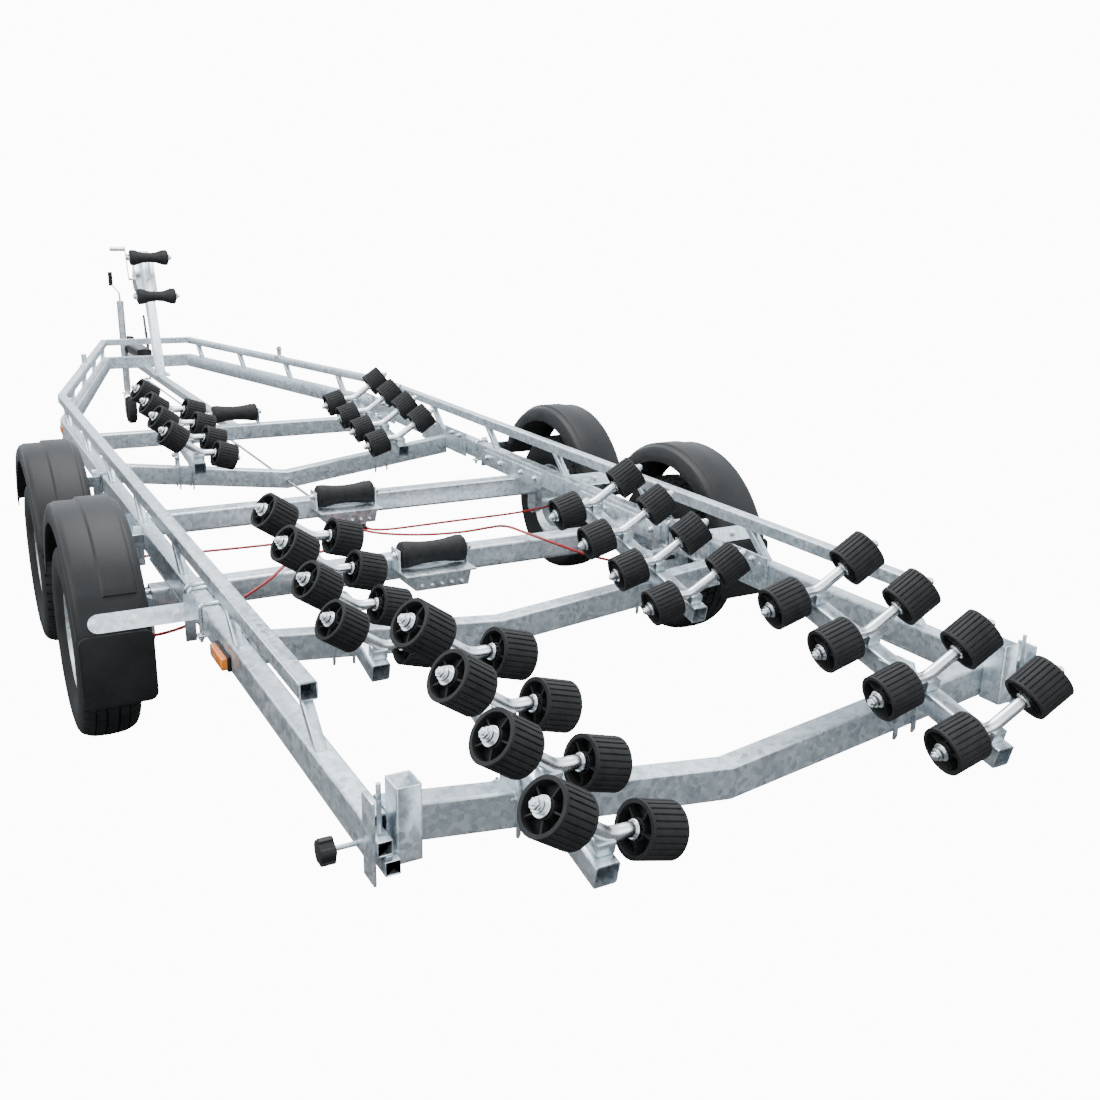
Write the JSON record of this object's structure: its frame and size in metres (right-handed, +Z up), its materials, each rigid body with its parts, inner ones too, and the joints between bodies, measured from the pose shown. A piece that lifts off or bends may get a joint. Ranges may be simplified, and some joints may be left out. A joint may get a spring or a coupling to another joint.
{
  "type": "boat trailer, twin axle with swinging roller beams",
  "caption": "Twin axle boat trailer with swinging hull roller beams, keel rollers, winch post and jockey wheel.",
  "frame": {"origin": "on the floor, on the centre line, under the middle of the overall length", "axes": "+X forward to the coupling, +Y to the trailer's left, +Z up"},
  "size_m": [7.9578, 2.324, 1.2684],
  "materials": {
    "galvanised_steel": "dull, spangled",
    "zinc_plated_steel": "bright",
    "black_rubber": "matt",
    "tyre_rubber": "matt",
    "wheel_steel": "satin",
    "black_plastic": "satin",
    "black_paint": "satin",
    "red_cable": "satin",
    "amber_lens": "clear"
  },
  "bodies": {
    "chassis": {"axle_mounts": "galvanised_steel", "brake_cable_front_left": "red_cable", "brake_cable_front_right": "red_cable", "brake_cable_rear_left": "red_cable", "brake_cable_rear_right": "red_cable", "brake_linkage": "zinc_plated_steel", "coupling_head": "black_paint", "cross_members": "galvanised_steel", "front_axle": "galvanised_steel", "handbrake_lever": "black_paint", "jockey_clamp": "galvanised_steel", "keel_beam": "galvanised_steel", "keel_roller_brackets": "galvanised_steel", "lamp_board_holders": "galvanised_steel", "lower_rails": "galvanised_steel", "mudflaps": "black_plastic", "mudguard_straps": "galvanised_steel", "mudguards_left": "black_plastic", "mudguards_right": "black_plastic", "nose_lower_frame": "galvanised_steel", "nose_top_frame": "galvanised_steel", "overrun_housing": "black_paint", "rear_axle": "galvanised_steel", "rear_cross_member": "galvanised_steel", "side_lamps": "amber_lens", "struts": "galvanised_steel", "swing_pivots": "galvanised_steel", "top_rails": "galvanised_steel", "winch": "zinc_plated_steel", "winch_post": "galvanised_steel"},
    "wheel_front_left": {"wheel_front_left": "wheel_steel", "tyre_front_left": "tyre_rubber"},
    "wheel_front_right": {"wheel_front_right": "wheel_steel", "tyre_front_right": "tyre_rubber"},
    "wheel_rear_left": {"wheel_rear_left": "wheel_steel", "tyre_rear_left": "tyre_rubber"},
    "wheel_rear_right": {"wheel_rear_right": "wheel_steel", "tyre_rear_right": "tyre_rubber"},
    "swing_beam_rear_left": {"swing_beam_rear_left": "galvanised_steel", "hull_rollers_rear_left": "black_rubber"},
    "swing_beam_rear_right": {"swing_beam_rear_right": "galvanised_steel", "hull_rollers_rear_right": "black_rubber"},
    "swing_beam_mid_left": {"swing_beam_mid_left": "galvanised_steel", "hull_rollers_mid_left": "black_rubber"},
    "swing_beam_mid_right": {"swing_beam_mid_right": "galvanised_steel", "hull_rollers_mid_right": "black_rubber"},
    "swing_beam_front_left": {"swing_beam_front_left": "galvanised_steel", "hull_rollers_front_left": "black_rubber"},
    "swing_beam_front_right": {"swing_beam_front_right": "galvanised_steel", "hull_rollers_front_right": "black_rubber"},
    "keel_roller_front": {"keel_roller_front": "black_rubber"},
    "keel_roller_mid": {"keel_roller_mid": "black_rubber"},
    "keel_roller_rear": {"keel_roller_rear": "black_rubber"},
    "bow_roller_upper": {"bow_roller_upper": "black_rubber"},
    "bow_roller_lower": {"bow_roller_lower": "black_rubber"},
    "jockey_mast": {"jockey_mast": "zinc_plated_steel", "jockey_stem": "zinc_plated_steel"},
    "jockey_fork": {"jockey_fork": "zinc_plated_steel"},
    "jockey_wheel": {"jockey_wheel": "black_rubber"}
  },
  "joints": [
    {"name": "wheel_front_left_spin", "type": "hinge", "parent": "chassis", "child": "wheel_front_left", "pos_m": [-1.01112, 1.068, 0.3], "axis": [0, 1, 0], "continuous": true},
    {"name": "wheel_front_right_spin", "type": "hinge", "parent": "chassis", "child": "wheel_front_right", "pos_m": [-1.01112, -1.068, 0.3], "axis": [0, 1, 0], "continuous": true},
    {"name": "wheel_rear_left_spin", "type": "hinge", "parent": "chassis", "child": "wheel_rear_left", "pos_m": [-1.89612, 1.068, 0.3], "axis": [0, 1, 0], "continuous": true},
    {"name": "wheel_rear_right_spin", "type": "hinge", "parent": "chassis", "child": "wheel_rear_right", "pos_m": [-1.89612, -1.068, 0.3], "axis": [0, 1, 0], "continuous": true},
    {"name": "swing_beam_rear_left_tilt", "type": "hinge", "parent": "chassis", "child": "swing_beam_rear_left", "pos_m": [-3.60112, 0.5, 0.53512], "axis": [0, 1, 0], "range_deg": [-1, 27]},
    {"name": "swing_beam_rear_right_tilt", "type": "hinge", "parent": "chassis", "child": "swing_beam_rear_right", "pos_m": [-3.60112, -0.5, 0.53512], "axis": [0, 1, 0], "range_deg": [-1, 27]},
    {"name": "swing_beam_mid_left_tilt", "type": "hinge", "parent": "chassis", "child": "swing_beam_mid_left", "pos_m": [-2.50112, 0.5, 0.50787], "axis": [0, 1, 0], "range_deg": [0, 28]},
    {"name": "swing_beam_mid_right_tilt", "type": "hinge", "parent": "chassis", "child": "swing_beam_mid_right", "pos_m": [-2.50112, -0.5, 0.50787], "axis": [0, 1, 0], "range_deg": [0, 28]},
    {"name": "swing_beam_front_left_tilt", "type": "hinge", "parent": "chassis", "child": "swing_beam_front_left", "pos_m": [-0.27112, 0.455, 0.55415], "axis": [0, 1, 0], "range_deg": [-5, 23]},
    {"name": "swing_beam_front_right_tilt", "type": "hinge", "parent": "chassis", "child": "swing_beam_front_right", "pos_m": [-0.27112, -0.455, 0.55415], "axis": [0, 1, 0], "range_deg": [-5, 23]},
    {"name": "keel_roller_front_spin", "type": "hinge", "parent": "chassis", "child": "keel_roller_front", "pos_m": [0.64888, 0, 0.505], "axis": [0, 1, 0], "continuous": true},
    {"name": "keel_roller_mid_spin", "type": "hinge", "parent": "chassis", "child": "keel_roller_mid", "pos_m": [-1.10112, 0, 0.4595], "axis": [0, 1, 0], "continuous": true},
    {"name": "keel_roller_rear_spin", "type": "hinge", "parent": "chassis", "child": "keel_roller_rear", "pos_m": [-1.98612, 0, 0.4595], "axis": [0, 1, 0], "continuous": true},
    {"name": "bow_roller_upper_spin", "type": "hinge", "parent": "chassis", "child": "bow_roller_upper", "pos_m": [2.75888, 0, 1.21], "axis": [0, 1, 0], "continuous": true},
    {"name": "bow_roller_lower_spin", "type": "hinge", "parent": "chassis", "child": "bow_roller_lower", "pos_m": [2.58888, 0, 0.97], "axis": [0, 1, 0], "continuous": true},
    {"name": "jockey_mast_slide", "type": "slide", "parent": "chassis", "child": "jockey_mast", "axis": [0, 0, 1], "range_m": [0, 0.17]},
    {"name": "jockey_swivel", "type": "hinge", "parent": "jockey_mast", "child": "jockey_fork", "pos_m": [3.47888, 0.095, 0.42], "axis": [0, 0, 1], "continuous": true},
    {"name": "jockey_wheel_spin", "type": "hinge", "parent": "jockey_fork", "child": "jockey_wheel", "pos_m": [3.38388, 0.095, 0.1], "axis": [0, 1, 0], "continuous": true}
  ]
}
